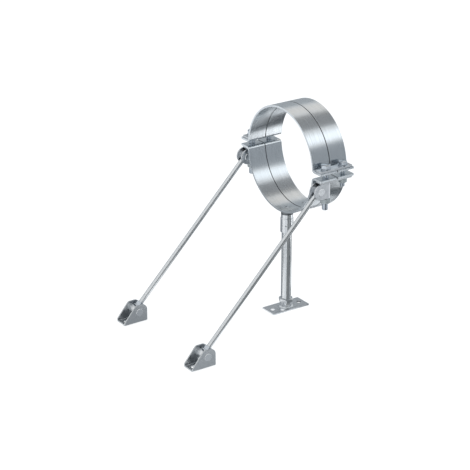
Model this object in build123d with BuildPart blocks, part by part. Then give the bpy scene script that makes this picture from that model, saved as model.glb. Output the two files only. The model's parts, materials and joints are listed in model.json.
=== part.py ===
from build123d import *
import os
from math import atan2, cos, degrees, radians, sin, sqrt, tan

# Fixed point pipe clamp: two bands side by side on a threaded post, stayed lengthwise by two strut rods.
# The origin is the centre of the base plate's underside, below the post. The pipe runs along Y, Z is up.
# The struts lead towards -Y. Right is +X.

# Pipe and bands
pipe_diameter = 210.0
pipe_centre_height = 325.0
band_thickness = 4.0
band_width = 40.0
band_gap = 1.5
ear_gap = 10.0
ear_length = 24.0
ear_bend_radius = 3.0
ear_corner_radius = 2.0

# Bridge plates, which tie the bands together over and under the ears
bridge_width = 18.0
bridge_thickness = 4.0
bridge_inset = 3.0
bridge_corner_radius = 1.5

# Clamp bolts: long M12 in front, M10 at the rear
bolt_offset = 17.0
bolt_hole_clearance = 0.5
thread_clearance = 0.05
thread_chamfer = 1.0
front_bolt_radius = 6.0
front_bolt_length = 85.0
front_across_flats = 18.0
front_head_height = 7.5
front_nut_height = 10.8
front_washer_radius = 10.0
front_washer_thickness = 2.0
rear_bolt_radius = 5.0
rear_bolt_length = 45.0
rear_across_flats = 16.0
rear_head_height = 6.4
rear_nut_height = 8.4
rear_washer_radius = 10.0
rear_washer_thickness = 2.0

# Hinge straps, bent round the long bolts
strap_thickness = 3.0
strap_height = 32.0
strap_bolt_clearance = 0.25
strap_pivot_distance = 16.0

# Struts: threaded rod screwed into round barrels that turn in the cheeks
rod_radius = 5.0
rod_upper_overhang = 8.0
rod_lower_overhang = 14.0
barrel_radius = 8.0
barrel_running_clearance = 0.05
barrel_overhang = 1.0
barrel_chamfer = 0.8
strut_across_flats = 16.0
strut_nut_height = 8.4
strut_washer_radius = 10.0
strut_washer_thickness = 2.0

# Floor brackets, folded from sheet
bracket_sheet = 3.0
bracket_width = 31.0
bracket_height = 37.5
bracket_front_length = 34.5
bracket_rear_length = 18.0
bracket_nose_height = 6.5
bracket_top_front = 8.5
bracket_top_front_radius = 6.0
bracket_top_rear_radius = 12.0
bracket_bend_radius = 1.0
bracket_pivot_distance = 285.0
bracket_pivot_height = 22.3
anchor_hole_radius = 5.5
anchor_hole_distance = 22.5

# Post: base plate, welded socket, lock nut, threaded tube, coupling and welded boss
plate_length = 90.0
plate_width = 40.0
plate_thickness = 3.0
plate_corner_radius = 2.0
plate_hole_radius = 4.5
plate_end_hole_distance = 33.0
plate_side_hole_x = 12.0
plate_side_hole_y = 16.5
socket_radius = 12.5
socket_height = 11.0
tube_radius = 10.5
tube_bore_radius = 8.0
tube_foot_gap = 1.0
lock_nut_across_flats = 27.0
lock_nut_height = 7.5
boss_radius = 12.25
boss_height = 8.0
boss_stub_length = 16.5
boss_rivet_radius = 5.0
boss_rivet_recess = 1.0
spare_rivet_hole_radius = 4.0
coupling_gap = 1.5
coupling_radius = 13.2
coupling_length = 39.5
coupling_chamfer = 1.2
coupling_neck_radius = 12.25
coupling_neck_length = 7.5
tube_in_coupling = 19.0
sight_hole_radius = 1.5
sight_hole_height = 16.3
sight_hole_turn = -45.0
socket_weld_size = 3.0
boss_weld_size = 2.0

# Hexagon corners are turned back at this angle, from a face this share of the width across flats
crown_angle = 30.0
crown_face = 0.95

os.makedirs("parts", exist_ok=True)

# Ring
ring_inner = pipe_diameter / 2
ring_outer = ring_inner + band_thickness
ring_middle = ring_inner + band_thickness / 2
front_band_middle = 0.0
rear_band_middle = band_width + band_gap
bands_front = front_band_middle - band_width / 2
bands_rear = rear_band_middle + band_width / 2

# Heights above or below the pipe centre
ear_middle = ear_gap / 2 + band_thickness / 2
ear_outer_face = ear_gap / 2 + band_thickness
bridge_outer_face = ear_outer_face + bridge_thickness
ear_end = ring_outer + ear_length
bend_middle_radius = ear_bend_radius + band_thickness / 2
bend_height = ear_outer_face + ear_bend_radius
bend_x = sqrt((ring_outer + ear_bend_radius) ** 2 - bend_height**2)
bend_start = degrees(atan2(bend_height, bend_x))

bolt_x = ring_inner + bolt_offset
sides = {"left": -bolt_x, "right": bolt_x}
front_hole_radius = front_bolt_radius + bolt_hole_clearance
rear_hole_radius = rear_bolt_radius + bolt_hole_clearance
upper_seat = pipe_centre_height + bridge_outer_face
lower_seat = pipe_centre_height - bridge_outer_face
strap_bottom = lower_seat - strap_height

# Pivots of the struts
upper_pivot = Vector(0, -strap_pivot_distance, lower_seat - strap_height / 2)
lower_pivot = Vector(0, -bracket_pivot_distance, bracket_pivot_height)
rod_line = upper_pivot - lower_pivot
rod_direction = rod_line.normalized()
rod_hole_radius = rod_radius + thread_clearance
barrel_hole_radius = barrel_radius + barrel_running_clearance

# Heights of the post's pieces
socket_top = plate_thickness + socket_height
boss_top = pipe_centre_height - ring_outer
boss_bottom = boss_top - boss_height
coupling_top = boss_bottom - coupling_gap
coupling_bottom = coupling_top - coupling_length
coupling_neck_bottom = coupling_top - coupling_neck_length
tube_bottom = plate_thickness + tube_foot_gap
tube_top = coupling_bottom + tube_in_coupling
tube_hole_radius = tube_radius + thread_clearance


def hexagon_blank(across_flats, height, bore_radius):
    """A hexagon with flats along X, both faces turned back at the corners, and a bore if it is a nut."""
    corner_radius = across_flats / sqrt(3)
    face_radius = across_flats / 2 * crown_face
    crown_height = (corner_radius - face_radius) * tan(radians(crown_angle))
    with BuildPart() as blank:
        with BuildSketch():
            RegularPolygon(across_flats / 2, 6, major_radius=False, rotation=30)
        extrude(amount=height)
        with BuildSketch(Plane.XZ):
            with BuildLine():
                Polyline(
                    (0, 0),
                    (face_radius, 0),
                    (corner_radius, crown_height),
                    (corner_radius, height - crown_height),
                    (face_radius, height),
                    (0, height),
                    close=True,
                )
            make_face()
        revolve(axis=Axis.Z, mode=Mode.INTERSECT)
        if bore_radius > 0:
            Hole(bore_radius)
    return blank.part


def hexagon_bolts(across_flats, head_height, radius, length, washer_thickness, y):
    """A pair of hexagon bolts, left and right, whose heads sit on washers over the upper bridge plates."""
    head = hexagon_blank(across_flats, head_height, 0)
    head_seat = upper_seat + washer_thickness
    with BuildPart() as bolts:
        with BuildSketch(Plane.XY.offset(head_seat - length)):
            with Locations([(x, y) for x in sides.values()]):
                Circle(radius)
        extrude(amount=length)
        chamfer(bolts.edges().group_by(Axis.Z)[0], thread_chamfer)
        with Locations([(x, y, head_seat) for x in sides.values()]):
            add(head)
    return bolts


def washers(radius, bolt_radius, thickness, y):
    """A pair of washers, left and right, on the upper bridge plates."""
    with BuildPart() as pair:
        with BuildSketch(Plane.XY.offset(upper_seat)):
            with Locations([(x, y) for x in sides.values()]):
                Circle(radius)
                Circle(bolt_radius + bolt_hole_clearance, mode=Mode.SUBTRACT)
        extrude(amount=thickness)
    return pair


def nuts(across_flats, height, bolt_radius, seat, y):
    """A pair of hexagon nuts, left and right, which bear upwards on the seat."""
    nut = hexagon_blank(across_flats, height, bolt_radius + thread_clearance)
    with BuildPart() as pair:
        with Locations([(x, y, seat - height) for x in sides.values()]):
            add(nut)
    return pair


def half_band(plane, bolt_y, hole_radius):
    """One half of a band: strip rolled round the pipe, with both ends bent outwards into ears."""
    with BuildPart() as band:
        with BuildSketch(plane):
            with BuildLine():
                Line((ear_end, ear_middle), (bend_x, ear_middle))
                CenterArc((bend_x, bend_height), bend_middle_radius, 270, bend_start - 90)
                CenterArc((0, 0), ring_middle, bend_start, 90 - bend_start)
                mirror(about=Plane.YZ)
            trace(line_width=band_thickness)
        extrude(amount=band_width)
        upright_edges = band.edges().filter_by(Axis.Z).group_by(Axis.X)
        fillet(upright_edges[0] + upright_edges[-1], ear_corner_radius)
        with Locations([(x, bolt_y, pipe_centre_height) for x in sides.values()]):
            Hole(hole_radius)
    return band


def keep(builder, name):
    """Label a finished piece and write it to its own file."""
    builder.part.label = name
    export_step(builder.part, f"parts/{name}.step")


# Bands: the lower halves are drawn on a plane that faces the other way, so the same profile hangs down
for place, middle, hole_radius in [
    ("front", front_band_middle, front_hole_radius),
    ("rear", rear_band_middle, rear_hole_radius),
]:
    upper_plane = Plane((0, middle + band_width / 2, pipe_centre_height), x_dir=(1, 0, 0), z_dir=(0, -1, 0))
    lower_plane = Plane((0, middle - band_width / 2, pipe_centre_height), x_dir=(1, 0, 0), z_dir=(0, 1, 0))
    upper_band = half_band(upper_plane, middle, hole_radius)
    lower_band = half_band(lower_plane, middle, hole_radius)
    # Both lower halves are punched for a boss, but only the front one has its boss riveted in and welded
    rivet_hole_radius = boss_rivet_radius + thread_clearance if place == "front" else spare_rivet_hole_radius
    with lower_band:
        with Locations((0, middle, boss_top)):
            Hole(rivet_hole_radius, depth=ring_inner)
    keep(upper_band, f"{place}_upper_band")
    keep(lower_band, f"{place}_lower_band")

# Bridge plates: flat bar with one hole of each size, over the upper ears and under the lower ears
for name, bottom in [
    ("upper_bridge_plates", upper_seat - bridge_thickness),
    ("lower_bridge_plates", lower_seat),
]:
    with BuildPart() as bridge_plates:
        with BuildSketch(Plane.XY.offset(bottom)):
            with Locations([(x, (bands_front + bands_rear) / 2) for x in sides.values()]):
                RectangleRounded(bridge_width, bands_rear - bands_front - 2 * bridge_inset, bridge_corner_radius)
            with Locations([(x, front_band_middle) for x in sides.values()]):
                Circle(front_hole_radius, mode=Mode.SUBTRACT)
            with Locations([(x, rear_band_middle) for x in sides.values()]):
                Circle(rear_hole_radius, mode=Mode.SUBTRACT)
        extrude(amount=bridge_thickness)
    keep(bridge_plates, name)

# Clamp bolts: the front pair is long enough to reach through the hinge straps
front_bolts = hexagon_bolts(
    front_across_flats,
    front_head_height,
    front_bolt_radius,
    front_bolt_length,
    front_washer_thickness,
    front_band_middle,
)
keep(front_bolts, "front_clamp_bolts")
keep(
    washers(front_washer_radius, front_bolt_radius, front_washer_thickness, front_band_middle),
    "front_clamp_washers",
)
keep(
    nuts(front_across_flats, front_nut_height, front_bolt_radius, strap_bottom, front_band_middle),
    "front_clamp_nuts",
)
rear_bolts = hexagon_bolts(
    rear_across_flats,
    rear_head_height,
    rear_bolt_radius,
    rear_bolt_length,
    rear_washer_thickness,
    rear_band_middle,
)
keep(rear_bolts, "rear_clamp_bolts")
keep(
    washers(rear_washer_radius, rear_bolt_radius, rear_washer_thickness, rear_band_middle),
    "rear_clamp_washers",
)
keep(
    nuts(rear_across_flats, rear_nut_height, rear_bolt_radius, lower_seat, rear_band_middle),
    "rear_clamp_nuts",
)

# Hinge straps, struts and floor brackets, the same on both sides
strap_inner = front_bolt_radius + strap_bolt_clearance
strap_middle = strap_inner + strap_thickness / 2
strap_outer = strap_inner + strap_thickness
upper_barrel_length = 2 * (strap_outer + barrel_overhang)
lower_barrel_length = bracket_width + 2 * barrel_overhang


def barrel(x, pivot, length):
    """A round pin along X, chamfered at both ends, with a tapped cross hole for the strut rod."""
    with BuildPart() as pin:
        with BuildSketch(Plane((x - length / 2, pivot.Y, pivot.Z), x_dir=(0, 1, 0), z_dir=(1, 0, 0))):
            Circle(barrel_radius)
        extrude(amount=length)
        chamfer(pin.edges().filter_by(GeomType.CIRCLE), barrel_chamfer)
        with BuildSketch(Plane((x, pivot.Y, pivot.Z), x_dir=(1, 0, 0), z_dir=rod_direction)):
            Circle(rod_hole_radius)
        extrude(amount=barrel_radius * 2, both=True, mode=Mode.SUBTRACT)
    return pin


strut_nut = hexagon_blank(strut_across_flats, strut_nut_height, rod_hole_radius)
for side, x in sides.items():
    # Strap: bent round the long bolt, its cheeks rounded about the pivot and cross-bored for the barrel
    with BuildPart() as hinge_strap:
        with BuildSketch(Plane.XY.offset(strap_bottom)):
            with BuildLine():
                Line((x + strap_middle, upper_pivot.Y - strap_height / 2), (x + strap_middle, 0))
                CenterArc((x, 0), strap_middle, 0, 180)
                Line((x - strap_middle, 0), (x - strap_middle, upper_pivot.Y - strap_height / 2))
            trace(line_width=strap_thickness)
        extrude(amount=strap_height)
        with BuildSketch(Plane((x, upper_pivot.Y, upper_pivot.Z), x_dir=(0, 1, 0), z_dir=(1, 0, 0))):
            Circle(strap_height / 2)
            Rectangle(strap_pivot_distance + strap_outer, strap_height, align=(Align.MIN, Align.CENTER))
        extrude(amount=strap_outer, both=True, mode=Mode.INTERSECT)
        with Locations(Plane((x, upper_pivot.Y, upper_pivot.Z), x_dir=(0, 1, 0), z_dir=(1, 0, 0))):
            Hole(barrel_hole_radius)
    keep(hinge_strap, f"{side}_hinge_strap")

    keep(barrel(x, upper_pivot, upper_barrel_length), f"{side}_upper_barrel")
    keep(barrel(x, lower_pivot, lower_barrel_length), f"{side}_lower_barrel")

    # Strut rod, from below the lower barrel to just past the upper one
    strut_plane = Plane((x, lower_pivot.Y, lower_pivot.Z), x_dir=(1, 0, 0), z_dir=rod_direction)
    rod_length = rod_lower_overhang + rod_line.length + rod_upper_overhang
    with BuildPart() as strut_rod:
        with BuildSketch(strut_plane.offset(-rod_lower_overhang)):
            Circle(rod_radius)
        extrude(amount=rod_length)
        chamfer(strut_rod.edges().filter_by(GeomType.CIRCLE), thread_chamfer)
    keep(strut_rod, f"{side}_strut_rod")

    # Washer and nut, which lock the rod against the lower barrel
    with BuildPart() as strut_washer:
        with BuildSketch(strut_plane.offset(barrel_radius)):
            Circle(strut_washer_radius)
            Circle(rod_hole_radius, mode=Mode.SUBTRACT)
        extrude(amount=strut_washer_thickness)
    keep(strut_washer, f"{side}_strut_washer")
    with BuildPart() as strut_lock_nut:
        with Locations(strut_plane.offset(barrel_radius + strut_washer_thickness)):
            add(strut_nut)
    keep(strut_lock_nut, f"{side}_strut_nut")

    # Floor bracket: cheeks folded up from a web, cut to a slanting front edge
    cheek_middle = (bracket_width - bracket_sheet) / 2
    fold_radius = bracket_bend_radius + bracket_sheet / 2
    bracket_front = lower_pivot.Y - bracket_front_length
    bracket_rear = lower_pivot.Y + bracket_rear_length
    with BuildPart() as floor_bracket:
        with BuildSketch(Plane((x, bracket_rear, 0), x_dir=(1, 0, 0), z_dir=(0, -1, 0))):
            with BuildLine():
                FilletPolyline(
                    (-cheek_middle, bracket_height),
                    (-cheek_middle, bracket_sheet / 2),
                    (cheek_middle, bracket_sheet / 2),
                    (cheek_middle, bracket_height),
                    radius=fold_radius,
                )
            trace(line_width=bracket_sheet)
        extrude(amount=bracket_rear - bracket_front)
        with BuildSketch(Plane((x, 0, 0), x_dir=(0, 1, 0), z_dir=(1, 0, 0))):
            with BuildLine():
                Polyline(
                    (bracket_front, 0),
                    (bracket_rear, 0),
                    (bracket_rear, bracket_height),
                    (lower_pivot.Y - bracket_top_front, bracket_height),
                    (bracket_front, bracket_nose_height),
                    close=True,
                )
            make_face()
        extrude(amount=bracket_width, both=True, mode=Mode.INTERSECT)
        top_corners = floor_bracket.edges().filter_by(Axis.X).group_by(Axis.Z)[-1].group_by(Axis.Y)
        fillet(top_corners[0], bracket_top_front_radius)
        top_corners = floor_bracket.edges().filter_by(Axis.X).group_by(Axis.Y)[-1].group_by(Axis.Z)
        fillet(top_corners[-1], bracket_top_rear_radius)
        with Locations(Plane((x, lower_pivot.Y, lower_pivot.Z), x_dir=(0, 1, 0), z_dir=(1, 0, 0))):
            Hole(barrel_hole_radius)
        with Locations((x, lower_pivot.Y - anchor_hole_distance, 0)):
            Hole(anchor_hole_radius)
    keep(floor_bracket, f"{side}_floor_bracket")

# Base plate
with BuildPart() as base_plate:
    with BuildSketch():
        RectangleRounded(plate_width, plate_length, plate_corner_radius)
        with Locations(
            (0, -plate_end_hole_distance),
            (0, plate_end_hole_distance),
            (plate_side_hole_x, -plate_side_hole_y),
            (-plate_side_hole_x, plate_side_hole_y),
        ):
            Circle(plate_hole_radius, mode=Mode.SUBTRACT)
    extrude(amount=plate_thickness)
keep(base_plate, "base_plate")

# Base socket: tapped sleeve with a bead of weld round its foot
with BuildPart() as base_socket:
    with BuildSketch(Plane.XY.offset(plate_thickness)):
        Circle(socket_radius)
        Circle(tube_hole_radius, mode=Mode.SUBTRACT)
    extrude(amount=socket_height)
keep(base_socket, "base_socket")
with BuildPart() as socket_weld:
    with BuildSketch(Plane.XZ):
        with BuildLine():
            bead_leg = Polyline(
                (socket_radius, plate_thickness + socket_weld_size),
                (socket_radius, plate_thickness),
                (socket_radius + socket_weld_size, plate_thickness),
            )
            RadiusArc(bead_leg @ 1, bead_leg @ 0, -socket_weld_size * 2)
        make_face()
    revolve(axis=Axis.Z)
keep(socket_weld, "socket_weld")

# Lock nut on the tube, tight against the socket
lock_nut_blank = hexagon_blank(lock_nut_across_flats, lock_nut_height, tube_hole_radius)
with BuildPart() as lock_nut:
    with Locations((0, 0, socket_top)):
        add(lock_nut_blank)
keep(lock_nut, "lock_nut")

# Threaded tube, from the socket into the lower half of the coupling
with BuildPart() as threaded_tube:
    with BuildSketch(Plane.XY.offset(tube_bottom)):
        Circle(tube_radius)
        Circle(tube_bore_radius, mode=Mode.SUBTRACT)
    extrude(amount=tube_top - tube_bottom)
    tube_rims = threaded_tube.edges().filter_by(GeomType.CIRCLE)
    chamfer(tube_rims.filter_by(lambda edge: edge.radius > tube_bore_radius), thread_chamfer)
keep(threaded_tube, "threaded_tube")

# Coupling: tapped sleeve with a turned neck, and a sight hole that shows how far the tube is screwed in
with BuildPart() as coupling:
    with BuildSketch(Plane.XZ):
        with BuildLine():
            Polyline(
                (tube_hole_radius, coupling_bottom),
                (coupling_radius - coupling_chamfer, coupling_bottom),
                (coupling_radius, coupling_bottom + coupling_chamfer),
                (coupling_radius, coupling_neck_bottom - coupling_chamfer),
                (coupling_neck_radius, coupling_neck_bottom),
                (coupling_neck_radius, coupling_top),
                (tube_hole_radius, coupling_top),
                close=True,
            )
        make_face()
    revolve(axis=Axis.Z)
    with BuildSketch(
        Plane(
            (0, 0, coupling_bottom + sight_hole_height),
            x_dir=(0, 0, 1),
            z_dir=(cos(radians(sight_hole_turn)), sin(radians(sight_hole_turn)), 0),
        )
    ):
        Circle(sight_hole_radius)
    extrude(amount=coupling_radius, mode=Mode.SUBTRACT)
keep(coupling, "coupling")

# Boss: turned collar that fits the band's underside, with a threaded stub below and a rivet end above.
# Both are drawn up to the pipe's centre. The band's outer surface cuts off the collar, and the rivet ends
# just short of its inner surface.
with BuildPart() as pipe_boss:
    with BuildSketch(Plane.XY.offset(boss_bottom - boss_stub_length)):
        Circle(tube_radius)
    extrude(amount=boss_stub_length)
    chamfer(pipe_boss.edges().group_by(Axis.Z)[0], thread_chamfer)
    with BuildSketch(Plane.XY.offset(boss_bottom)):
        Circle(boss_radius)
    extrude(amount=pipe_centre_height - boss_bottom)
    with BuildSketch(Plane((0, 0, pipe_centre_height), x_dir=(1, 0, 0), z_dir=(0, -1, 0))):
        Circle(ring_outer)
    extrude(amount=band_width, both=True, mode=Mode.SUBTRACT)
    with BuildSketch(Plane.XY.offset(boss_bottom)):
        Circle(boss_rivet_radius)
    extrude(amount=pipe_centre_height - boss_bottom)
    with BuildSketch(Plane((0, 0, pipe_centre_height), x_dir=(1, 0, 0), z_dir=(0, -1, 0))):
        Circle(ring_inner + boss_rivet_recess)
    extrude(amount=band_width, both=True, mode=Mode.SUBTRACT)
keep(pipe_boss, "pipe_boss")
with BuildPart() as boss_weld:
    with BuildSketch(Plane.XZ):
        with BuildLine():
            Polyline(
                (boss_radius, boss_top + boss_weld_size),
                (boss_radius, boss_top - boss_weld_size),
                (boss_radius + boss_weld_size, boss_top),
                (boss_radius + boss_weld_size, boss_top + boss_weld_size),
                close=True,
            )
        make_face()
    revolve(axis=Axis.Z)
    with BuildSketch(Plane((0, 0, pipe_centre_height), x_dir=(1, 0, 0), z_dir=(0, -1, 0))):
        Circle(ring_outer)
    extrude(amount=band_width, both=True, mode=Mode.SUBTRACT)
keep(boss_weld, "boss_weld")
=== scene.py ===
import json
from math import atan2, cos, pi, radians, sin, sqrt, tan

import bmesh
import bpy
from mathutils import Matrix, Quaternion, Vector


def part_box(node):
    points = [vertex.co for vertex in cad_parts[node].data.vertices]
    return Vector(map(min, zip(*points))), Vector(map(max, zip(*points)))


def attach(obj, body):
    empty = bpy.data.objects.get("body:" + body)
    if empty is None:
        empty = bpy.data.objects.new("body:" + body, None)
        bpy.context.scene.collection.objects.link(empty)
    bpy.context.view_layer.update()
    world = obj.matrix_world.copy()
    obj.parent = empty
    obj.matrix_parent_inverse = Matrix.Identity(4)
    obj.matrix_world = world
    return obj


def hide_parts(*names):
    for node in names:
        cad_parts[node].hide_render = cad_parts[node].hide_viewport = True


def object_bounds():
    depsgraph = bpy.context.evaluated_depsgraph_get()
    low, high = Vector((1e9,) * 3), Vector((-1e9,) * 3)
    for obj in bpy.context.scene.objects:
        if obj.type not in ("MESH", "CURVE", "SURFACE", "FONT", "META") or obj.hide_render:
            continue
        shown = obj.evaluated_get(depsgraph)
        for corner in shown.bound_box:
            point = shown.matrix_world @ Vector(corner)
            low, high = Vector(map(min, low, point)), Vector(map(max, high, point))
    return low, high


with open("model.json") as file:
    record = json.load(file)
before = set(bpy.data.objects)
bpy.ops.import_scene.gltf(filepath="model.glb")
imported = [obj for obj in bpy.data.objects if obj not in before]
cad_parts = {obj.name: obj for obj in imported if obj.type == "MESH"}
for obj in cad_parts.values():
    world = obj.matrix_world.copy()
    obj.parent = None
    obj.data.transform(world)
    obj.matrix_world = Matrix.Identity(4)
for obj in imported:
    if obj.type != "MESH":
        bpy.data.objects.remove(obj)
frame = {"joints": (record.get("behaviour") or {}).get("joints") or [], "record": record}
cad_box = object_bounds()


# Bands: two clamps side by side, each of an upper and a lower half. A half is steel strip, rolled round
# the pipe, with both ends bent outwards into ears and punched for a bolt. Rolling and plating leave
# faint lines that follow the strip.
mm = 0.001
tolerance = 0.01 * mm
merge_distance = 0.002 * mm
unit_half_side = 0.5
along_x = Vector((1, 0, 0))
along_y = Vector((0, 1, 0))
along_z = Vector((0, 0, 1))

# The frame is in metres. The pipe runs along Y, and the post carries it straight above the origin.
bodies = frame["record"]["behaviour"]["bodies"]
mounts = {mount["name"]: mount for mount in frame["record"]["mounts"]}
pivots = {joint["name"]: Vector(joint["pos_m"]) for joint in frame["joints"]}
pipe_centre = Vector(mounts["pipe_seat"]["pos_m"])
pipe_radius = mounts["pipe_seat"]["dims"]["r_mm"] * mm
bolt_x = pivots["right_strut_swing"].x
sides = {"left": -bolt_x, "right": bolt_x}


def everything(shape):
    """All of a shape's vertices, edges and faces, for an operator that works on the whole."""
    return shape.verts[:] + shape.edges[:] + shape.faces[:]


def merge(shape):
    """Merge doubled vertices and turn every face outwards."""
    bmesh.ops.remove_doubles(shape, verts=shape.verts, dist=merge_distance)
    bmesh.ops.recalc_face_normals(shape, faces=shape.faces)


def strip_end(shape, turn_axis, size, middle):
    """The cut end of a strip, to be swept: a flat rectangle turned up about an axis, sized and placed."""
    corners = bmesh.ops.create_grid(shape, x_segments=1, y_segments=1, size=unit_half_side)["verts"]
    bmesh.ops.transform(shape, matrix=Matrix.Rotation(pi / 2, 4, turn_axis), verts=corners)
    bmesh.ops.scale(shape, vec=size, verts=corners)
    bmesh.ops.translate(shape, verts=corners, vec=middle)
    return shape.faces[:]


def spin_on(shape, end, centre, axis, angle, steps):
    """Sweep the end of a solid about an axis through the centre, and return the new end."""
    swept = bmesh.ops.spin(
        shape, geom=end, cent=centre, axis=axis, angle=angle, steps=steps, use_merge=False
    )
    return swept["geom_last"]


def extrude_on(shape, end, reach):
    """Lengthen a solid from its end by a vector, and return the new end."""
    faces = [part for part in end if isinstance(part, bmesh.types.BMFace)]
    made = bmesh.ops.extrude_face_region(shape, geom=faces)["geom"]
    bmesh.ops.delete(shape, geom=faces, context="FACES_ONLY")
    corners = [part for part in made if isinstance(part, bmesh.types.BMVert)]
    bmesh.ops.translate(shape, verts=corners, vec=reach)
    return made


def thicken(shape, reach):
    """Make a flat face into a solid by extruding it along a vector."""
    made = bmesh.ops.extrude_face_region(shape, geom=shape.faces[:])["geom"]
    corners = [part for part in made if isinstance(part, bmesh.types.BMVert)]
    bmesh.ops.translate(shape, verts=corners, vec=reach)
    bmesh.ops.recalc_face_normals(shape, faces=shape.faces)


parallel_cosine = 0.9999


def edges_along(shape, axis):
    """The straight edges of a shape that run along an axis."""
    found = []
    for edge in shape.edges:
        direction = (edge.verts[1].co - edge.verts[0].co).normalized()
        if abs(direction.dot(axis)) > parallel_cosine:
            found.append(edge)
    return found


def round_edges(shape, edges, reach, segments):
    """Round some edges off. The reach is the way from an edge to where its rounding starts."""
    bmesh.ops.bevel(
        shape,
        geom=edges,
        offset=reach,
        offset_type="OFFSET",
        affect="EDGES",
        segments=segments,
        profile=0.5,
        material=-1,
        clamp_overlap=True,
    )


def placed(shape, at, along=along_z):
    """Turn a shape that was made along Z from the origin, and put it in its place."""
    turn = along_z.rotation_difference(along).to_matrix().to_4x4()
    bmesh.ops.transform(shape, matrix=Matrix.Translation(at) @ turn, verts=shape.verts)
    return shape


def add_shape(shape, other):
    """Put another shape beside the first, in the same mesh."""
    mesh = bpy.data.meshes.new("part")
    other.to_mesh(mesh)
    other.free()
    shape.from_mesh(mesh)
    bpy.data.meshes.remove(mesh)


def combined(shape, tool, operation):
    """Cut a shape with a tool, or keep what both share, and return the result."""
    blanks = []
    for part in (shape, tool):
        mesh = bpy.data.meshes.new("blank")
        part.to_mesh(mesh)
        part.free()
        blank = bpy.data.objects.new("blank", mesh)
        bpy.context.scene.collection.objects.link(blank)
        blanks.append(blank)
    cut = blanks[0].modifiers.new("cut", "BOOLEAN")
    cut.operation = operation
    cut.solver = "EXACT"
    cut.object = blanks[1]
    result = bmesh.new()
    result.from_object(blanks[0], bpy.context.evaluated_depsgraph_get())
    for blank in blanks:
        mesh = blank.data
        bpy.data.objects.remove(blank)
        bpy.data.meshes.remove(mesh)
    merge(result)
    return result


drill_overrun = 4


def drilled(shape, holes, axis, reach, segments=64):
    """Drill holes, each a middle point and a radius, along an axis.

    The drill is several times as long as the reach, so that it comes out on both sides.
    """
    depth = drill_overrun * reach
    drills = bmesh.new()
    for middle, radius in holes:
        drill = bmesh.new()
        bmesh.ops.create_circle(drill, cap_ends=True, radius=radius, segments=segments)
        thicken(drill, along_z * depth)
        add_shape(drills, placed(drill, Vector(middle) - axis * depth / 2, axis))
    return combined(shape, drills, "DIFFERENCE")


def colour(code):
    """The linear colour that a shader takes, from an sRGB hex code."""
    channels = [int(code[place : place + 2], 16) / 255 for place in (1, 3, 5)]
    return [c / 12.92 if c <= 0.04045 else ((c + 0.055) / 1.055) ** 2.4 for c in channels] + [1]


def add_node(tree, kind, links=None, values=None, **settings):
    """Add a node with its settings, the values of its inputs and the links into them."""
    node = tree.nodes.new(kind)
    for name, setting in settings.items():
        setattr(node, name, setting)
    for name, value in (values or {}).items():
        node.inputs[name].default_value = value
    for name, source in (links or {}).items():
        tree.links.new(source, node.inputs[name])
    return node


def zinc_plated(name, pale, dull, roughness, spread, patch, stretch=(1, 1, 1), relief=0.0):
    """Zinc plating on steel, pale and smooth in some patches and dull and rougher in others.

    The patch is their size. Zinc crystals are far smaller than a millimetre and don't show, so the patches
    are the clouds that a plating bath leaves. Stretched along one direction, they look like the lines of
    rolled steel. The roughness differs by the spread either way, and the relief is the patches' height.
    """
    material = bpy.data.materials.new(name)
    material.use_nodes = True
    tree = material.node_tree
    tree.nodes.clear()
    place = add_node(tree, "ShaderNodeTexCoord").outputs["Object"]
    scale = [1 / (patch * along) for along in stretch]
    drawn = add_node(tree, "ShaderNodeMapping", {"Vector": place}, {"Scale": scale})
    patches = add_node(
        tree,
        "ShaderNodeTexNoise",
        {"Vector": drawn.outputs["Vector"]},
        {"Scale": 1.0, "Detail": 5.0, "Roughness": 0.6},
    )
    tint = add_node(
        tree,
        "ShaderNodeMixRGB",
        {"Fac": patches.outputs["Fac"]},
        {"Color1": colour(dull), "Color2": colour(pale)},
    )
    # The noise hardly leaves 0.3 to 0.7, so that range takes the whole change of gloss
    gloss = add_node(
        tree,
        "ShaderNodeMapRange",
        {"Value": patches.outputs["Fac"]},
        {"From Min": 0.3, "From Max": 0.7, "To Min": roughness + spread, "To Max": roughness - spread},
    )
    shader = add_node(
        tree,
        "ShaderNodeBsdfPrincipled",
        {"Base Color": tint.outputs["Color"], "Roughness": gloss.outputs["Result"]},
        {"Metallic": 1.0},
    )
    if relief:
        bump = add_node(
            tree,
            "ShaderNodeBump",
            {"Height": patches.outputs["Fac"]},
            {"Strength": 1.0, "Distance": relief},
        )
        tree.links.new(bump.outputs["Normal"], shader.inputs["Normal"])
    add_node(tree, "ShaderNodeOutputMaterial", {"Surface": shader.outputs["BSDF"]})
    return material, shader


quarter_turn = 0.25


def brush_round(material, shader, centre, axis, anisotropy):
    """Run the lines of a finish round an axis. The quarter turn spreads highlights across the lines."""
    tree = material.node_tree
    place = add_node(tree, "ShaderNodeTexCoord").outputs["Object"]
    arm = add_node(tree, "ShaderNodeVectorMath", {0: place}, {1: centre}, operation="SUBTRACT")
    lines = add_node(
        tree, "ShaderNodeVectorMath", {1: arm.outputs[0]}, {0: axis}, operation="CROSS_PRODUCT"
    )
    tree.links.new(lines.outputs[0], shader.inputs["Tangent"])
    shader.inputs["Anisotropic"].default_value = anisotropy
    shader.inputs["Anisotropic Rotation"].default_value = quarter_turn


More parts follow.
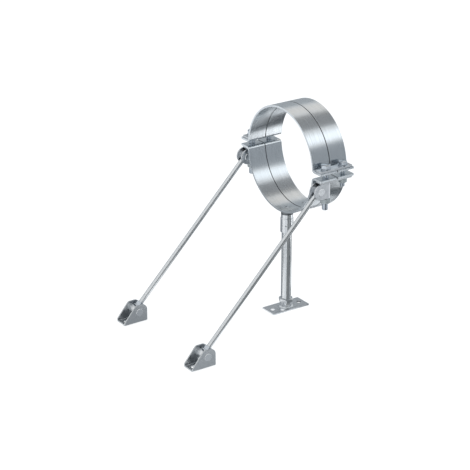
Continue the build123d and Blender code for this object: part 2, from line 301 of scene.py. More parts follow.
def finished(shape, node, material, edge=0.0, angle=35):
    """Make a shape into the piece that stands for a CAD node, with the finish of a material slot.

    Edges sharper than the angle, in degrees, are broken by the edge width, or stay sharp without one.
    """
    mesh = bpy.data.meshes.new(f"{node}_finished")
    shape.to_mesh(mesh)
    shape.free()
    mesh.polygons.foreach_set("use_smooth", [True] * len(mesh.polygons))
    mesh.materials.append(material)
    piece = bpy.data.objects.new(f"{node}_finished", mesh)
    bpy.context.scene.collection.objects.link(piece)
    if edge:
        broken = piece.modifiers.new("broken edges", "BEVEL")
        broken.width = edge
        broken.segments = 2
        broken.limit_method = "ANGLE"
        broken.angle_limit = radians(angle)
        broken.harden_normals = True
    else:
        mesh.set_sharp_from_angle(angle=radians(angle))
    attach(piece, next(body for body, members in bodies.items() if node in members))
    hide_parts(node)
    return piece


# Rolled strip, zinc plated: satin and cool grey, with faint lines round the ring that spread a highlight
# into a broad band. Real rolling lines are about 0.2 mm wide and wouldn't show, so these are 1.8 mm wide
strip_zinc, strip_shader = zinc_plated(
    "zinc plated rolled strip",
    "#dce1e5",
    "#bbc2c7",
    roughness=0.25,
    spread=0.03,
    patch=3 * mm,
    stretch=(30, 0.6, 30),
)
brush_round(strip_zinc, strip_shader, pipe_centre, along_y, anisotropy=0.6)

# The edges that face each other across the seam are painted dark, dull and matt: painted shade that stands
# in for the shade inside the narrow gap, so the gap between the bands shows as a thin line
painted_seam_shade, _ = zinc_plated(
    "painted shade in the seam", "#4c4f52", "#3a3d40", roughness=0.5, spread=0.05, patch=2 * mm
)

facing_cosine = 0.9
strip_edge = 0.35 * mm
ear_bend_radius = 3 * mm
ear_corner_radius = 2 * mm
band_holes = {"front": 6.5 * mm, "rear": 5.5 * mm}
rivet_radius = 5 * mm
fit_clearance = 0.05 * mm
spare_hole_radius = 4 * mm
boss_holes = {"front": rivet_radius + fit_clearance, "rear": spare_hole_radius}
band_middles = {}
ring_steps = 60
bend_steps = 10
for place, hole_radius in band_holes.items():
    low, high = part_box(f"{place}_upper_band")
    width = high.y - low.y
    band_middle = (low.y + high.y) / 2
    band_middles[place] = band_middle
    ring_outer = high.z - pipe_centre.z
    band_thickness = ring_outer - pipe_radius
    ear_end = high.x
    bend_height = low.z - pipe_centre.z + band_thickness + ear_bend_radius
    bend_x = sqrt((ring_outer + ear_bend_radius) ** 2 - bend_height**2)
    bend_turn = pi / 2 - atan2(bend_height, bend_x)
    for half, up in (("upper", 1), ("lower", -1)):
        band = bmesh.new()
        middle = (0, band_middle, pipe_radius + band_thickness / 2)
        start = strip_end(band, "Y", (1, width, band_thickness), middle)
        ring_end = spin_on(band, start, (0, 0, 0), along_y, bend_turn, ring_steps)
        ear = spin_on(band, ring_end, (bend_x, 0, bend_height), along_y, -bend_turn, bend_steps)
        extrude_on(band, ear, along_x * (ear_end - bend_x))
        top = [face for face in band.faces if face.calc_center_median().x < tolerance]
        bmesh.ops.delete(band, geom=top, context="FACES_ONLY")
        corners = [e for e in edges_along(band, along_z) if e.verts[0].co.x > ear_end - tolerance]
        round_edges(band, corners, ear_corner_radius, segments=6)
        bmesh.ops.mirror(band, geom=everything(band), axis="X", merge_dist=merge_distance)
        bmesh.ops.scale(band, vec=(1, 1, up), verts=band.verts)
        bmesh.ops.translate(band, verts=band.verts, vec=(0, 0, pipe_centre.z))
        merge(band)
        ear_holes = [((x, band_middle, pipe_centre.z), hole_radius) for x in sides.values()]
        band = drilled(band, ear_holes, along_z, bend_height)
        if half == "lower":
            boss_hole = ((0, band_middle, pipe_centre.z - ring_outer), boss_holes[place])
            band = drilled(band, [boss_hole], along_z, band_thickness)
        piece = finished(band, f"{place}_{half}_band", strip_zinc, strip_edge)
        # The faces towards the seam take the painted shade; the rest of the band keeps the strip zinc
        piece.data.materials.append(painted_seam_shade)
        seam = along_y if place == "front" else -along_y
        for face in piece.data.polygons:
            face.material_index = int(face.normal.dot(seam) > facing_cosine)


# Bridge plates: short flat bars over the upper ears and under the lower ears, each with a hole for both
# bolts. They tie the two bands together. Sawn from bright steel bar, punched and plated.

# Zinc on smooth flat steel: an even, soft grey in large faint clouds, duller than the bolts
flat_zinc, _ = zinc_plated(
    "zinc plated flat steel", "#d2d5d8", "#bcc1c6", roughness=0.31, spread=0.06, patch=7 * mm
)

plate_edge = 0.3 * mm
bridge_corner_radius = 1.5 * mm


def flat_bar(low, high, corner_radius):
    """A rectangular plate between two corner points, with its four upright edges rounded."""
    plate = bmesh.new()
    bmesh.ops.create_cube(plate, size=1)
    bmesh.ops.scale(plate, vec=high - low, verts=plate.verts)
    bmesh.ops.translate(plate, verts=plate.verts, vec=(low + high) / 2)
    round_edges(plate, edges_along(plate, along_z), corner_radius, segments=5)
    return plate


for node in ("upper_bridge_plates", "lower_bridge_plates"):
    low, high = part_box(node)
    bridge_half_width = high.x - bolt_x
    bridges = bmesh.new()
    for x in sides.values():
        bar_low = Vector((x - bridge_half_width, low.y, low.z))
        bar_high = Vector((x + bridge_half_width, high.y, high.z))
        bar = flat_bar(bar_low, bar_high, bridge_corner_radius)
        holes = [((x, band_middles[place], low.z), radius) for place, radius in band_holes.items()]
        add_shape(bridges, drilled(bar, holes, along_z, high.z - low.z))
    finished(bridges, node, flat_zinc, plate_edge)


# Clamp bolts: hexagon bolts with rolled metric threads, long ones in front and short ones at the rear,
# with washers under their heads and nuts below. Cold forged from steel and bright zinc plated.

# Bright zinc on cold forged steel: cool grey, smooth enough to glint on a head's flats and corners
fastener_zinc, _ = zinc_plated(
    "zinc plated fasteners", "#c6cdd4", "#b2bac2", roughness=0.24, spread=0.05, patch=3 * mm
)

# The nuts come from another bath with thinner zinc: a mid grey that hardly glints
nut_zinc, _ = zinc_plated(
    "dull zinc plated nuts", "#a6aeb1", "#969e9f", roughness=0.28, spread=0.05, patch=3 * mm
)

# A head's or nut's corners are turned back at this angle, outside this share of the width across flats
crown_angle = radians(30)
crown_face = 0.95
hexagon_edge = 0.25 * mm
washer_edge = 0.3 * mm


def turned(outline, steps=64, closed=True):
    """A solid of revolution about Z, from an outline of radii and heights. An open one ends on the axis."""
    lathe = bmesh.new()
    corners = [lathe.verts.new((radius, 0, height)) for radius, height in outline]
    pairs = zip(corners, corners[1:] + (corners[:1] if closed else []))
    edges = [lathe.edges.new(pair) for pair in pairs]
    spin_on(lathe, corners + edges, (0, 0, 0), along_z, 2 * pi, steps)
    merge(lathe)
    return lathe


def washer(inner, outer, bottom, top):
    """A flat ring between two heights."""
    return turned([(inner, bottom), (outer, bottom), (outer, top), (inner, top)])


def hexagon(across_flats, height, bore=0.0):
    """A bolt's head or a nut: a hexagon whose corners are turned back at both faces."""
    corner_radius = across_flats / sqrt(3)
    face_radius = across_flats / 2 * crown_face
    crown = (corner_radius - face_radius) * tan(crown_angle)
    prism = bmesh.new()
    bmesh.ops.create_circle(prism, cap_ends=True, radius=corner_radius, segments=6)
    thicken(prism, along_z * height)
    round_edges(prism, edges_along(prism, along_z), hexagon_edge, segments=3)
    reach = corner_radius + hexagon_edge
    reach_crown = crown + hexagon_edge * tan(crown_angle)
    blank = turned(
        [
            (bore, 0),
            (face_radius, 0),
            (reach, reach_crown),
            (reach, height - reach_crown),
            (face_radius, height),
            (bore, height),
        ],
        steps=72,
        closed=bore > 0,
    )
    return combined(prism, blank, "INTERSECT")


# A thread's valley is flat over a share of the pitch, between flanks at this angle. Real threads are about
# 0.6 of the pitch deep. At the photograph's size that looks dark and coarse, so they are shallower here
thread_flank = radians(30)
thread_valley = 0.12
thread_depth = 0.3
rod_thread_depth = 0.15

# Turns beyond the bar's length, which the cuts at its ends take off, and how near a cut counts as on it
spare_turns = 2
on_plane = 1e-9


def threaded(radius, pitch, length, depth, steps=24, end=1 * mm):
    """A bar along Z with a rolled thread, whose depth is a share of the pitch.

    One turn is swept and then repeated. Both ends are chamfered.
    """
    core = radius - depth * pitch
    root = thread_valley * pitch
    flank = depth * pitch * tan(thread_flank)
    profile = [(core, 0), (core, root), (radius, root + flank), (radius, pitch - flank), (core, pitch)]
    bar = bmesh.new()
    points = [bar.verts.new((r, 0, height)) for r, height in profile]
    edges = [bar.edges.new(pair) for pair in zip(points, points[1:])]
    bmesh.ops.spin(
        bar,
        geom=points + edges,
        cent=(0, 0, 0),
        axis=along_z,
        dvec=along_z * pitch / steps,
        angle=2 * pi,
        steps=steps,
        use_merge=False,
    )
    turns = 1
    while turns < length / pitch + spare_turns:
        copy = bmesh.ops.duplicate(bar, geom=everything(bar))["geom"]
        moved = [part for part in copy if isinstance(part, bmesh.types.BMVert)]
        bmesh.ops.translate(bar, verts=moved, vec=along_z * pitch * turns)
        turns *= 2
    bmesh.ops.remove_doubles(bar, verts=bar.verts, dist=merge_distance)
    bmesh.ops.translate(bar, verts=bar.verts, vec=-along_z * pitch)
    for height, outwards in ((0, -1), (length, 1)):
        bmesh.ops.bisect_plane(
            bar,
            geom=everything(bar),
            dist=on_plane,
            plane_co=(0, 0, height),
            plane_no=(0, 0, outwards),
            clear_outer=True,
        )
    for point in bar.verts:
        from_end = min(point.co.z, length - point.co.z)
        widest = radius - end + max(from_end, 0)
        out = point.co.xy.length
        if out > widest:
            point.co.xy = point.co.xy * widest / out
    return bar


def capped(shape):
    """Close a shape's open ends with flat faces."""
    bmesh.ops.holes_fill(shape, edges=[edge for edge in shape.edges if edge.is_boundary], sides=0)
    merge(shape)
    return shape


def levels(node):
    """The heights of a CAD node's underside and top."""
    low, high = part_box(node)
    return low.z, high.z


def bolts_and_nuts(place, radius, pitch, across_flats, washer_radius):
    """The clamp bolts, washers and nuts at one band, left and right."""
    y = band_middles[place]
    bolt_end, head_top = levels(f"{place}_clamp_bolts")
    seat, washer_top = levels(f"{place}_clamp_washers")
    nut_low, nut_high = levels(f"{place}_clamp_nuts")
    bolts = bmesh.new()
    washers = bmesh.new()
    nuts = bmesh.new()
    for x in sides.values():
        shank = capped(threaded(radius, pitch, washer_top - bolt_end, thread_depth))
        add_shape(bolts, placed(shank, (x, y, bolt_end)))
        head = hexagon(across_flats, head_top - washer_top)
        add_shape(bolts, placed(head, (x, y, washer_top)))
        flat_ring = washer(band_holes[place], washer_radius, seat, washer_top)
        add_shape(washers, placed(flat_ring, (x, y, 0)))
        nut = hexagon(across_flats, nut_high - nut_low, radius + fit_clearance)
        add_shape(nuts, placed(nut, (x, y, nut_low)))
    finished(bolts, f"{place}_clamp_bolts", fastener_zinc)
    finished(washers, f"{place}_clamp_washers", fastener_zinc, washer_edge)
    finished(nuts, f"{place}_clamp_nuts", nut_zinc)


bolts_and_nuts("front", radius=6 * mm, pitch=1.75 * mm, across_flats=18 * mm, washer_radius=10 * mm)
bolts_and_nuts("rear", radius=5 * mm, pitch=1.5 * mm, across_flats=16 * mm, washer_radius=10 * mm)


# Hinge straps: steel strip bent round each long bolt below the ears, with two cheeks that are rounded
# about the strut's pivot and bored across for the barrel. Punched, bent and plated.
strap_thickness = 3 * mm
strap_steps = 32
barrel_radius = 8 * mm
for side, x in sides.items():
    node = f"{side}_hinge_strap"
    pivot = pivots[f"{side}_strut_swing"]
    low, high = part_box(node)
    strap_height = high.z - low.z
    inner = (high.x - low.x) / 2 - strap_thickness
    strap = bmesh.new()
    middle = Vector((x + inner + strap_thickness / 2, 0, pivot.z))
    start = strip_end(strap, "X", (strap_thickness, 1, strap_height), middle)
    second = spin_on(strap, start, (x, 0, 0), along_z, pi, strap_steps)
    extrude_on(strap, second, along_y * low.y)
    first = [face for face in strap.faces if (face.calc_center_median() - middle).length < tolerance]
    extrude_on(strap, first, along_y * low.y)
    merge(strap)
    ends = [e for e in edges_along(strap, along_x) if e.verts[0].co.y < low.y + tolerance]
    round_edges(strap, ends, strap_height / 2 - tolerance, segments=20)
    strap = drilled(strap, [(pivot, barrel_radius + fit_clearance)], along_x, inner)
    finished(strap, node, flat_zinc, plate_edge)


# Struts: steel rod with a rolled M10 thread, screwed through a turned barrel at both ends, all plated. The
# barrels turn in the cheeks. A nut with a washer locks the rod against the lower barrel.

# Bright zinc on rolled thread: pale and smooth, so each turn draws one light and one dark line
thread_zinc, _ = zinc_plated(
    "zinc plated rolled thread", "#dcdfe1", "#d0d4d7", roughness=0.22, spread=0.03, patch=5 * mm
)

# Bright zinc on turned steel: light grey with a narrow highlight along a round part
turned_zinc, _ = zinc_plated(
    "zinc plated turned steel", "#d8dbde", "#c4c9cd", roughness=0.24, spread=0.05, patch=3 * mm
)

# The barrels' round sides have satin zinc, softer in gloss than their faced ends, and are painted paler:
# painted light that brightens the sides the cheeks shade
pin_zinc_painted_light, _ = zinc_plated(
    "zinc plated pins with painted light", "#f2f4f6", "#e2e6e9", roughness=0.42, spread=0.05, patch=3 * mm
)

rod_radius = 5 * mm
rod_pitch = 1.5 * mm
rod_above = 8 * mm
rod_below = 14 * mm
barrel_chamfer = 0.8 * mm
strut_washer_radius = 10 * mm
strut_washer_thickness = 2 * mm
strut_across_flats = 16 * mm
strut_nut_height = 8.4 * mm


def barrel(node, pivot, rod_direction):
    """A round pin across the cheeks, chamfered at its ends and bored for the rod."""
    low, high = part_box(node)
    length = high.x - low.x
    waist = barrel_radius - barrel_chamfer
    pin = turned(
        [
            (0, 0),
            (waist, 0),
            (barrel_radius, barrel_chamfer),
            (barrel_radius, length - barrel_chamfer),
            (waist, length),
            (0, length),
        ],
        closed=False,
    )
    placed(pin, (low.x, pivot.y, pivot.z), along_x)
    pin = drilled(pin, [(pivot, rod_radius + fit_clearance)], rod_direction, barrel_radius)
    # The round sides take the zinc with painted light; the faced ends take the turned zinc
    piece = finished(pin, node, pin_zinc_painted_light)
    piece.data.materials.append(turned_zinc)
    for face in piece.data.polygons:
        face.material_index = int(abs(face.normal.x) > facing_cosine)


for side in sides:
    upper = pivots[f"{side}_strut_swing"]
    lower = pivots[f"{side}_foot_swing"]
    rod_direction = (upper - lower).normalized()
    rod_length = (upper - lower).length + rod_above + rod_below
    rod = capped(threaded(rod_radius, rod_pitch, rod_length, rod_thread_depth))
    placed(rod, lower - rod_direction * rod_below, rod_direction)
    finished(rod, f"{side}_strut_rod", thread_zinc)
    barrel(f"{side}_upper_barrel", upper, rod_direction)
    barrel(f"{side}_lower_barrel", lower, rod_direction)
    bore = rod_radius + fit_clearance
    lock_washer = washer(bore, strut_washer_radius, 0, strut_washer_thickness)
    placed(lock_washer, lower + rod_direction * barrel_radius, rod_direction)
    finished(lock_washer, f"{side}_strut_washer", fastener_zinc, washer_edge)
    nut = hexagon(strut_across_flats, strut_nut_height, bore)
    placed(nut, lower + rod_direction * (barrel_radius + strut_washer_thickness), rod_direction)
    finished(nut, f"{side}_strut_nut", fastener_zinc)


# Floor brackets: steel sheet folded up into a web and two cheeks, with a slanting front edge. The cheeks
# are bored for the lower barrel, the web is punched for an anchor bolt. Cut, folded, then galvanised.

# Hot-dip galvanised sheet: duller and greyer than the plated parts, and mottled
sheet_zinc, _ = zinc_plated(
    "galvanised folded sheet", "#c8ccce", "#b0b4b8", roughness=0.34, spread=0.07, patch=4 * mm
)

bracket_sheet = 3 * mm
bracket_bend_radius = 1 * mm
bracket_nose_height = 6.5 * mm
bracket_top_front = 8.5 * mm
bracket_top_front_radius = 6 * mm
bracket_top_rear_radius = 12 * mm
anchor_hole_radius = mounts["left_floor_anchor"]["dims"]["r_mm"] * mm


def top_edges(shape, top):
    """The edges across the top of a bracket's cheeks."""
    return [e for e in edges_along(shape, along_x) if min(v.co.z for v in e.verts) > top - tolerance]


for side, x in sides.items():
    node = f"{side}_floor_bracket"
    pivot = pivots[f"{side}_foot_swing"]
    low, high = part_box(node)
    fold = bracket_bend_radius + bracket_sheet
    half_width = (high.x - low.x) / 2
    bracket = bmesh.new()
    middle = (0, (low.y + high.y) / 2, bracket_sheet / 2)
    start = strip_end(bracket, "Y", (1, high.y - low.y, bracket_sheet), middle)
    web = extrude_on(bracket, start, along_x * (half_width - fold))
    folded = spin_on(bracket, web, (half_width - fold, 0, fold), along_y, -pi / 2, steps=8)
    extrude_on(bracket, folded, along_z * (high.z - fold))
    open_side = [face for face in bracket.faces if face.calc_center_median().x < tolerance]
    bmesh.ops.delete(bracket, geom=open_side, context="FACES_ONLY")
    slope_run = pivot.y - bracket_top_front - low.y
    slope_rise = high.z - bracket_nose_height
    bmesh.ops.bisect_plane(
        bracket,
        geom=everything(bracket),
        dist=on_plane,
        plane_co=(0, low.y, bracket_nose_height),
        plane_no=(0, -slope_rise, slope_run),
        clear_outer=True,
    )
    cut = [e for e in bracket.edges if e.is_boundary and min(v.co.x for v in e.verts) > tolerance]
    bmesh.ops.holes_fill(bracket, edges=cut, sides=0)
    bmesh.ops.mirror(bracket, geom=everything(bracket), axis="X", merge_dist=merge_distance)
    merge(bracket)
    slope_turn = atan2(slope_rise, slope_run)
    front_tops = [e for e in top_edges(bracket, high.z) if e.verts[0].co.y < pivot.y]
    round_edges(bracket, front_tops, bracket_top_front_radius * tan(slope_turn / 2), segments=6)
    rear_tops = [e for e in top_edges(bracket, high.z) if e.verts[0].co.y > high.y - tolerance]
    round_edges(bracket, rear_tops, bracket_top_rear_radius, segments=12)
    bmesh.ops.translate(bracket, verts=bracket.verts, vec=(x, 0, 0))
    bracket = drilled(bracket, [(pivot, barrel_radius + fit_clearance)], along_x, half_width)
    anchor = Vector(mounts[f"{side}_floor_anchor"]["pos_m"])
    bracket = drilled(bracket, [(anchor, anchor_hole_radius)], along_z, bracket_sheet)
    finished(bracket, node, sheet_zinc, plate_edge)


# Base plate: steel flat bar that carries the post. It has a hole near each end and one on each side of the
# post, for floor screws. Cut and punched, and plated once the socket was welded on.
base_low, base_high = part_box("base_plate")
plate_corner_radius = 2 * mm
end_holes = mounts["base_end_holes"]["dims"]
end_hole_y = end_holes["spacing_y_mm"] * mm / 2
base_holes = [((0, y, 0), end_holes["hole_r_mm"] * mm) for y in (-end_hole_y, end_hole_y)]
for name in ("base_side_hole_front", "base_side_hole_rear"):
    base_holes.append((mounts[name]["pos_m"], mounts[name]["dims"]["r_mm"] * mm))
plate = flat_bar(base_low, base_high, plate_corner_radius)
plate = drilled(plate, base_holes, along_z, base_high.z - base_low.z)
finished(plate, "base_plate", flat_zinc, plate_edge)


# Base socket and lock nut: a short tapped sleeve that stands on the plate, and a large thin nut on the tube
# above it, which stops the tube from turning. Turned from round and hexagon steel bar, and plated.
tube_radius = 10.5 * mm
tapped_radius = tube_radius + fit_clearance
socket_radius = 12.5 * mm
socket_low, socket_high = levels("base_socket")
socket = washer(tapped_radius, socket_radius, socket_low, socket_high)
finished(socket, "base_socket", turned_zinc, washer_edge)

lock_nut_across_flats = 27 * mm
nut_low, nut_high = levels("lock_nut")
lock_nut = hexagon(lock_nut_across_flats, nut_high - nut_low, tapped_radius)
finished(placed(lock_nut, (0, 0, nut_low)), "lock_nut", turned_zinc)


# Threaded tube: steel pipe with a pipe thread along its whole length, so that it screws into the socket
# and the coupling and sets the height of the clamp. Drawn, threaded and plated.
tube_pitch = 1.814 * mm
tube_bore_radius = 8 * mm
tube_low, tube_high = levels("threaded_tube")
tube_length = tube_high - tube_low
tube = threaded(tube_radius, tube_pitch, tube_length, thread_depth, steps=36)
bmesh.ops.create_circle(tube, cap_ends=False, radius=tube_bore_radius, segments=48)
rim = [e for e in tube.edges if e.is_wire]
wall = bmesh.ops.extrude_edge_only(tube, edges=rim)["geom"]
wall_top = [part for part in wall if isinstance(part, bmesh.types.BMVert)]
bmesh.ops.translate(tube, verts=wall_top, vec=along_z * tube_length)
for height in (0, tube_length):
    loops = [e for e in tube.edges if e.is_boundary and abs(e.verts[0].co.z - height) < tolerance]
    bmesh.ops.bridge_loops(tube, edges=loops)
merge(tube)
finished(placed(tube, (0, 0, tube_low)), "threaded_tube", thread_zinc)


# Coupling: a round steel sleeve, tapped at both ends, with a chamfered foot and a slimmer neck. Through a
# small hole in its side the fitter sees how far the tube is screwed in. Turned, drilled and plated.
coupling_low, coupling_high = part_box("coupling")
coupling_radius = coupling_high.x
coupling_chamfer = 1.2 * mm
neck_radius = 12.25 * mm
neck_height = 7.5 * mm
neck_bottom = coupling_high.z - neck_height
coupling = turned(
    [
        (tapped_radius, coupling_low.z),
        (coupling_radius - coupling_chamfer, coupling_low.z),
        (coupling_radius, coupling_low.z + coupling_chamfer),
        (coupling_radius, neck_bottom - coupling_chamfer),
        (neck_radius, neck_bottom),
        (neck_radius, coupling_high.z),
        (tapped_radius, coupling_high.z),
    ],
    steps=96,
)
sight_hole_radius = 1.5 * mm
sight_hole_rise = 16.3 * mm
sight_direction = Vector((1, -1, 0)).normalized()
sight = sight_direction * coupling_radius + along_z * (coupling_low.z + sight_hole_rise)
coupling_wall = coupling_radius - tapped_radius
coupling = drilled(coupling, [(sight, sight_hole_radius)], sight_direction, coupling_wall, segments=32)
finished(coupling, "coupling", turned_zinc)


# Pipe boss: a round steel seat with a stub that screws into the coupling. Its rivet end goes through the
# front lower band and shows inside, a little below the surface. Turned, riveted, welded round and plated.

# Zinc painted a dark, matt grey: painted shade for the boss in the shadow under the band, which sets the
# boss off from band and coupling
boss_painted_shade, _ = zinc_plated(
    "painted shade on the pipe boss", "#85898d", "#64686c", roughness=0.42, spread=0.05, patch=1.5 * mm
)

boss_low, boss_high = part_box("pipe_boss")
boss_radius = boss_high.x
stub_length = 16.5 * mm
stub_chamfer = 1 * mm
boss_bottom = boss_low.z + stub_length
rivet_recess = 1 * mm
band_underside = pipe_centre.z - ring_outer


def saddle(x, radius):
    """The height of a ring's lower half above the floor, at a distance x from its middle."""
    return pipe_centre.z - sqrt(radius**2 - x**2)


boss = turned(
    [
        (0, boss_low.z),
        (tube_radius - stub_chamfer, boss_low.z),
        (tube_radius, boss_low.z + stub_chamfer),
        (tube_radius, boss_bottom),
        (boss_radius, boss_bottom),
        (boss_radius, band_underside),
        (rivet_radius, band_underside),
        (rivet_radius, band_underside + band_thickness),
        (0, band_underside + band_thickness),
    ],
    closed=False,
)
for point in boss.verts:
    if point.co.z > band_underside + band_thickness / 2:
        point.co.z = saddle(point.co.x, pipe_radius + rivet_recess)
    elif point.co.z > band_underside - tolerance:
        point.co.z = saddle(point.co.x, ring_outer)
# The boss below the band takes the painted shade; the rivet end inside the band takes the turned zinc
piece = finished(boss, "pipe_boss", boss_painted_shade)
piece.data.materials.append(turned_zinc)
for face in piece.data.polygons:
    face.material_index = int(face.center.z > band_underside)


# Weld beads: round the socket's foot and round the boss below the band. Laid by hand in one pass, so
# they swell and ripple in short crescents, and then plated with the rest.

# Zinc over rough weld metal: pale on the crests and dull in the hollows, with a fine grain
weld_zinc, _ = zinc_plated(
    "zinc plated weld bead",
    "#e0e4e7",
    "#bcc2c7",
    roughness=0.3,
    spread=0.08,
    patch=1.5 * mm,
    relief=0.05 * mm,
)

socket_bead_size = 2.8 * mm
boss_bead_size = 1.9 * mm
bead_swell = 0.14
bead_sides = 6
bead_steps = 240
bead_smooth_angle = 80
ripple_pitch = 1.1 * mm
ripple_height = 0.12 * mm
ripple_lag = 0.8
ripple_middle = 0.6

# Halfway up a fillet that doesn't swell, the two shares that tell how far a point is from the bead's edges
# are a half each, and this is their product. From there on the ripples have their full height
flat_from_edges = 0.25


def bead(radius, size, foot, up):
    """A fillet of weld round a cylinder, from its foot up or down, which swells out and has ripples.

    The ripples lag behind towards the top, as crescents do, and fade out at the bead's two edges.
    """
    outline = [(radius, 0)]
    for side_end in range(bead_sides + 1):
        climb = side_end / bead_sides
        swell = sin(pi * climb) * size * bead_swell
        outline.append((radius + size * (1 - climb) + swell, size * climb + swell))
    fillet = turned(outline, steps=bead_steps)
    ripples = round(2 * pi * radius / ripple_pitch)
    for point in fillet.verts:
        out = point.co.xy.length
        from_edges = max(0.0, (out - radius) / size) * max(0.0, point.co.z / size)
        fade = min(from_edges / flat_from_edges, 1)
        turn = atan2(point.co.y, point.co.x)
        crescent = abs(sin(turn * ripples / 2 + ripple_lag * point.co.z / size))
        grow = (crescent - ripple_middle) * ripple_height * fade
        point.co.xy = point.co.xy * (out + grow) / out
        point.co.z = foot + up * (point.co.z + grow)
    merge(fillet)
    return fillet


socket_bead = bead(socket_radius, socket_bead_size, socket_low, up=1)
finished(socket_bead, "socket_weld", weld_zinc, angle=bead_smooth_angle)
boss_bead = bead(boss_radius, boss_bead_size, band_underside, up=-1)
for point in boss_bead.verts:
    point.co.z += saddle(point.co.x, ring_outer) - band_underside
finished(boss_bead, "boss_weld", weld_zinc, angle=bead_smooth_angle)


# Studio: a matt white floor that runs out into white surroundings, with one softbox behind the clamp. White
# and grey cards stand and lie around it, as a photographer sets them round bright metal. Only reflections
# show them, and they give the metal its light and dark bands.
floor_reach = 6
floor_glow = 0.75
floor_drop = 0.2 * mm
card_drop = 0.1 * mm
floor = bmesh.new()
bmesh.ops.create_grid(floor, x_segments=1, y_segments=1, size=floor_reach)
bmesh.ops.translate(floor, verts=floor.verts, vec=(0, 0, cad_box[0].z - floor_drop))


def staged(name, shape, material):
    """A piece of studio equipment, which is no part of the clamp."""
    mesh = bpy.data.meshes.new(name)
    shape.to_mesh(mesh)
    shape.free()
    mesh.materials.append(material)
    equipment = bpy.data.objects.new(name, mesh)
    bpy.context.scene.collection.objects.link(equipment)
    return equipment


def seen_directly(tree, strength=1.0):
    """Strength for rays that come from the camera or off gloss or through glass, and 0 for the rest."""
    path = add_node(tree, "ShaderNodeLightPath")
    camera_or_gloss = add_node(
        tree,
        "ShaderNodeMath",
        {0: path.outputs["Is Camera Ray"], 1: path.outputs["Is Glossy Ray"]},
        operation="MAXIMUM",
    )
    any_of_them = add_node(
        tree,
        "ShaderNodeMath",
        {0: camera_or_gloss.outputs[0], 1: path.outputs["Is Transmission Ray"]},
        operation="MAXIMUM",
    )
    return add_node(
        tree, "ShaderNodeMath", {0: any_of_them.outputs[0]}, {1: strength}, operation="MULTIPLY"
    ).outputs[0]


# Matt white paint, a little overexposed, so that the floor runs out to plain white and keeps a faint shadow
white_paint = bpy.data.materials.new("matt white floor paint")
white_paint.use_nodes = True
tree = white_paint.node_tree
tree.nodes.clear()
matt = add_node(tree, "ShaderNodeBsdfDiffuse", values={"Color": colour("#e6e6e6")})
glow = add_node(
    tree, "ShaderNodeEmission", {"Strength": seen_directly(tree, floor_glow)}, {"Color": colour("#ffffff")}
)
paint = add_node(tree, "ShaderNodeAddShader", {0: matt.outputs[0], 1: glow.outputs[0]})
add_node(tree, "ShaderNodeOutputMaterial", {"Surface": paint.outputs[0]})
staged("studio_floor", floor, white_paint)

# The surroundings are white for the camera, gloss and glass, and lend the rest a light grey fill
world = bpy.data.worlds.new("white studio")
bpy.context.scene.world = world
world.use_nodes = True
tree = world.node_tree
tree.nodes.clear()
room = add_node(tree, "ShaderNodeBackground", values={"Color": colour("#b0b4b8"), "Strength": 1.0})
white = add_node(tree, "ShaderNodeBackground", values={"Color": colour("#ffffff"), "Strength": 1.0})
surround = add_node(
    tree, "ShaderNodeMixShader", {0: seen_directly(tree), 1: room.outputs[0], 2: white.outputs[0]}
)
add_node(tree, "ShaderNodeOutputWorld", {"Surface": surround.outputs[0]})


def heading(azimuth, elevation=0.0):
    """The direction with an azimuth, counted in degrees from +X towards +Y, and an elevation."""
    turn, rise = radians(azimuth), radians(elevation)
    return Vector((cos(turn) * cos(rise), sin(turn) * cos(rise), sin(rise)))


def hung_card(width, height, place, direction):
    """A rectangular card at a place, facing a direction."""
    sheet = bmesh.new()
    bmesh.ops.create_grid(sheet, x_segments=1, y_segments=1, size=unit_half_side)
    bmesh.ops.scale(sheet, vec=(width, height, 1), verts=sheet.verts)
    turn = Vector(direction).to_track_quat("Z", "Y").to_matrix().to_4x4()
    bmesh.ops.transform(sheet, matrix=Matrix.Translation(place) @ turn, verts=sheet.verts)
    return sheet


def floor_card(first_azimuth, last_azimuth, near, far):
    """A card on the floor, cut as a sector round the post between two azimuths and two distances."""
    sheet = bmesh.new()
    ends = [sheet.verts.new(heading(first_azimuth) * reach) for reach in (near, far)]
    edge = sheet.edges.new(ends)
    sweep = radians(last_azimuth - first_azimuth)
    spin_on(sheet, ends + [edge], (0, 0, 0), along_z, sweep, steps=12)
    bmesh.ops.translate(sheet, verts=sheet.verts, vec=(0, 0, cad_box[0].z - card_drop))
    return sheet


def wall_card(width, height, azimuth, distance):
    """A card that stands on the floor at an azimuth and a distance from the post, facing it."""
    place = heading(azimuth) * distance + along_z * height / 2
    return hung_card(width, height, place, -heading(azimuth))


ceiling_place = Vector((0.09, 1.0, 1.85))
warm_heading = heading(126, 45)
warm_distance = 1.7
warm_place = pipe_centre + warm_heading * warm_distance

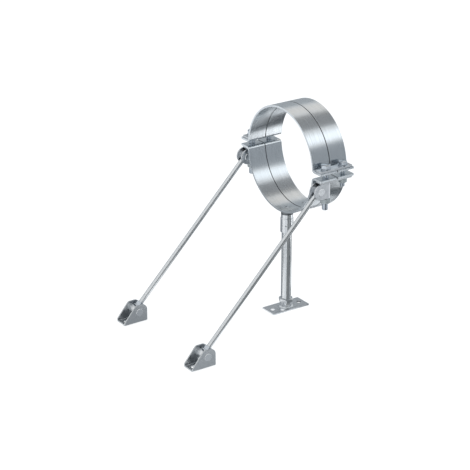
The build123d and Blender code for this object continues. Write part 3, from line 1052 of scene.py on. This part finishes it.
# Each card has a shade and a strength. The floor cards lie side by side on one level, so none overlaps
# another. They are named for where they lie, seen from the post, and a flag is a grey card.
cards = {
    "right_wall": (wall_card(0.9, 0.8, 48, 0.95), "#abb0b5", 1.0),
    "right_flag": (wall_card(0.9, 0.9, -5, 0.95), "#888b8c", 1.0),
    "left_wall": (wall_card(2.0, 1.2, 160, 1.3), "#b2b7bb", 1.0),
    "front_wall": (wall_card(3.0, 0.8, -80, 1.9), "#90959a", 1.0),
    "rear_left_wall": (wall_card(1.2, 0.75, -170, 1.6), "#90959a", 1.0),
    "ceiling_flag": (hung_card(1.02, 1.6, ceiling_place, -along_z), "#9a9b9c", 1.0),
    "warm_ceiling": (hung_card(1.0, 0.36, warm_place, -warm_heading), "#fff7ee", 1.0),
    "front_floor_flag": (floor_card(-30, 15, 0.03, 0.95), "#929596", 1.0),
    "post_side_flag": (floor_card(15, 36, 0.03, 0.34), "#84888b", 1.0),
    "post_rear_flag": (floor_card(36, 62, 0.03, 0.17), "#bec2c5", 1.0),
    "right_floor_flag": (floor_card(36, 62, 0.17, 0.34), "#5a5e61", 1.0),
    "middle_right_floor_flag": (floor_card(20, 51, 0.34, 0.41), "#4c5054", 1.0),
    "far_right_floor_flag": (floor_card(20, 46, 0.41, 0.66), "#4c5054", 1.0),
    "middle_bright_floor": (floor_card(51.5, 66, 0.36, 0.41), "#ffffff", 2.2),
    "bright_floor": (floor_card(47, 66, 0.41, 0.62), "#ffffff", 2.2),
    "post_floor_flag": (floor_card(62, 106, 0.03, 0.12), "#74787c", 1.0),
    "rear_floor_flag": (floor_card(68, 107, 0.24, 0.46), "#44484c", 1.0),
    "rear_right_floor_flag": (floor_card(62, 68, 0.24, 0.34), "#b0b4b8", 1.0),
    "left_post_floor_flag": (floor_card(107, 152, 0.03, 0.3), "#9ca0a4", 1.0),
    "left_rear_floor_flag": (floor_card(116, 152, 0.4, 0.85), "#9ca0a4", 1.0),
    "left_side_floor_flag": (floor_card(152, 192, 0.03, 0.85), "#a0a4a8", 1.0),
    "left_near_floor_flag": (floor_card(-168, -125, 0.03, 0.45), "#94989c", 1.0),
    "left_far_floor_flag": (floor_card(-168, -125, 0.45, 0.85), "#a8acb0", 1.0),
    "near_bright_floor": (floor_card(-112, -72, 0.03, 0.22), "#ffffff", 1.3),
    "far_bright_floor": (floor_card(-112, -72, 0.34, 0.6), "#ffffff", 1.3),
    "right_bracket_flag": (floor_card(-66, -46, 0.28, 0.39), "#c4c8cc", 1.0),
    "left_bracket_flag": (floor_card(-118, -84, 0.22, 0.34), "#b2b6ba", 1.0),
}
for name, (sheet, shade, strength) in cards.items():
    # Matt board at one even tone, so that a reflection of it is an even band
    board = bpy.data.materials.new(f"{name} card")
    board.use_nodes = True
    tree = board.node_tree
    tree.nodes.clear()
    tone = add_node(tree, "ShaderNodeEmission", values={"Color": colour(shade), "Strength": strength})
    add_node(tree, "ShaderNodeOutputMaterial", {"Surface": tone.outputs[0]})
    card = staged(name, sheet, board)
    card.visible_camera = False
    card.visible_diffuse = False
    card.visible_transmission = False
    card.visible_shadow = False

# The softbox hangs high behind the clamp on the right, a little cool, and lights it softly from there
softbox_heading = heading(45, 38)
softbox_distance = 2.2
softbox = bpy.data.lights.new("key_softbox", "AREA")
softbox.shape = "RECTANGLE"
softbox.size = 1.0
softbox.size_y = 0.6
softbox.energy = 1.45
softbox.color = colour("#f2faff")[:3]
key = bpy.data.objects.new("key_softbox", softbox)
key.location = pipe_centre + softbox_heading * softbox_distance
key.rotation_euler = softbox_heading.to_track_quat("Z", "Y").to_euler()
key.visible_camera = False
bpy.context.scene.collection.objects.link(key)


# Camera: at the photograph's viewing angle, 3.6 m away with a long lens. It looks at the clamp from the
# front right and from a little above, and leans by a fraction of a degree.
camera_heading = heading(-34.93, 22.67)
camera_roll = radians(0.13)
camera_place = Vector((2.6166, -1.9544, 1.5225))
photo_width = 470
focal_length_pixels = 1758.36
photo_camera = bpy.data.cameras.new("photo_camera")
photo_camera.sensor_width = 36
photo_camera.lens = focal_length_pixels / photo_width * photo_camera.sensor_width
camera = bpy.data.objects.new("photo_camera", photo_camera)
camera.location = camera_place
camera.rotation_mode = "QUATERNION"
camera.rotation_quaternion = camera_heading.to_track_quat("Z", "Y") @ Quaternion(along_z, camera_roll)
bpy.context.scene.collection.objects.link(camera)
bpy.context.scene.camera = camera
bpy.context.scene.view_settings.view_transform = "Standard"
